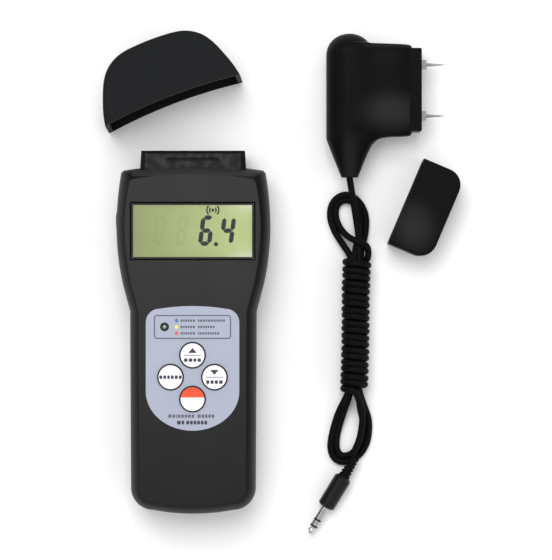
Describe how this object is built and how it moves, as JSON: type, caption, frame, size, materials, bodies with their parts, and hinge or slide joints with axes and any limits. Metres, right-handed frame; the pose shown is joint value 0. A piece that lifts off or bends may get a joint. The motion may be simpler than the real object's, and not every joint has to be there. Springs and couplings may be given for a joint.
{
  "type": "moisture meter",
  "caption": "Handheld moisture meter with display, keypad, sensor end and clip-on cap, and a two-needle probe with its own cap on a wrapped cord ending in a plug.",
  "frame": {"origin": "centre of the meter's flat back, on the surface that everything lies on", "axes": "+Y along the meter towards its sensor end, +Z out of its keys, +X towards the pin probe"},
  "size_m": [0.1586, 0.2246, 0.032],
  "materials": {
    "case_plastic": "fine-textured dark grey moulding",
    "cap_plastic": "fine-textured near-black moulding",
    "probe_plastic": "satin black moulding",
    "bezel_plastic": "matt black moulding",
    "window_clear": "clear acrylic pane",
    "display_panel": "yellow-green reflective liquid crystal panel",
    "backlight_plastic": "milky diffuser",
    "label_film": "lavender-grey printed film",
    "key_plastic": "white satin plastic",
    "lamp_plastic": "grey-green lens",
    "board_laminate": "green solder mask",
    "chip_plastic": "black moulding compound",
    "soft_rubber": "matt black",
    "cord_rubber": "satin black sheath",
    "battery_wrap": "plain printed sleeve",
    "steel": "plated",
    "bright_steel": "polished",
    "brass": "turned",
    "copper": "bare sheet"
  },
  "bodies": {
    "meter": {"front_cover": "case_plastic", "rear_cover": "case_plastic", "batteries": "battery_wrap", "battery_contacts": "steel", "battery_springs": "steel", "case_screws": "steel", "sensor_block": "case_plastic", "sensor_plates": "copper", "display_window": "window_clear", "display_glass": "display_panel", "display_bezel": "bezel_plastic", "display_backlight": "backlight_plastic", "zebra_strips": "soft_rubber", "circuit_board": "board_laminate", "board_screws": "steel", "circuit_chips": "chip_plastic", "key_switches": "chip_plastic", "buzzer": "chip_plastic", "indicator_lamp": "lamp_plastic", "probe_socket": "chip_plastic", "keypad_label": "label_film"},
    "key_up": {"key_up": "key_plastic"},
    "key_select": {"key_select": "key_plastic"},
    "key_down": {"key_down": "key_plastic"},
    "key_power": {"key_power": "key_plastic"},
    "battery_cover": {"battery_cover": "case_plastic"},
    "sensor_cap": {"sensor_cap": "cap_plastic"},
    "pin_probe": {"probe_upper_shell": "probe_plastic", "probe_lower_shell": "probe_plastic", "probe_screws": "steel", "probe_nose": "probe_plastic", "pin_sockets": "brass", "needle_pins": "bright_steel", "pin_nuts": "bright_steel", "probe_leads": "soft_rubber", "cord_grommet": "soft_rubber", "cord_lead": "cord_rubber", "cord_hank": "cord_rubber", "cord_tail": "cord_rubber", "plug_relief": "cord_rubber", "plug_barrel": "cord_rubber", "plug_contacts": "bright_steel", "plug_insulators": "chip_plastic"},
    "probe_cap": {"probe_cap": "probe_plastic"}
  },
  "joints": [
    {"name": "key_up_press", "type": "slide", "parent": "meter", "child": "key_up", "axis": [0, 0, -1], "range_m": [0, 0.0006], "stiffness_N_per_m": 2000, "springref_m": -0.0002},
    {"name": "key_select_press", "type": "slide", "parent": "meter", "child": "key_select", "axis": [0, 0, -1], "range_m": [0, 0.0006], "stiffness_N_per_m": 2000, "springref_m": -0.0002},
    {"name": "key_down_press", "type": "slide", "parent": "meter", "child": "key_down", "axis": [0, 0, -1], "range_m": [0, 0.0006], "stiffness_N_per_m": 2000, "springref_m": -0.0002},
    {"name": "key_power_press", "type": "slide", "parent": "meter", "child": "key_power", "axis": [0, 0, -1], "range_m": [0, 0.0006], "stiffness_N_per_m": 2000, "springref_m": -0.0002},
    {"name": "battery_cover_slide", "type": "slide", "parent": "meter", "child": "battery_cover", "axis": [0, -1, 0], "range_m": [0, 0.055]},
    {"name": "sensor_cap_lift", "type": "slide", "parent": "meter", "child": "sensor_cap", "axis": [0, 0, 1], "range_m": [0, 0.06]},
    {"name": "pin_probe_lift", "type": "slide", "parent": "meter", "child": "pin_probe", "axis": [0, 0, 1], "range_m": [0, 0.06]},
    {"name": "probe_cap_lift", "type": "slide", "parent": "meter", "child": "probe_cap", "axis": [0, 0, 1], "range_m": [0, 0.06]}
  ]
}
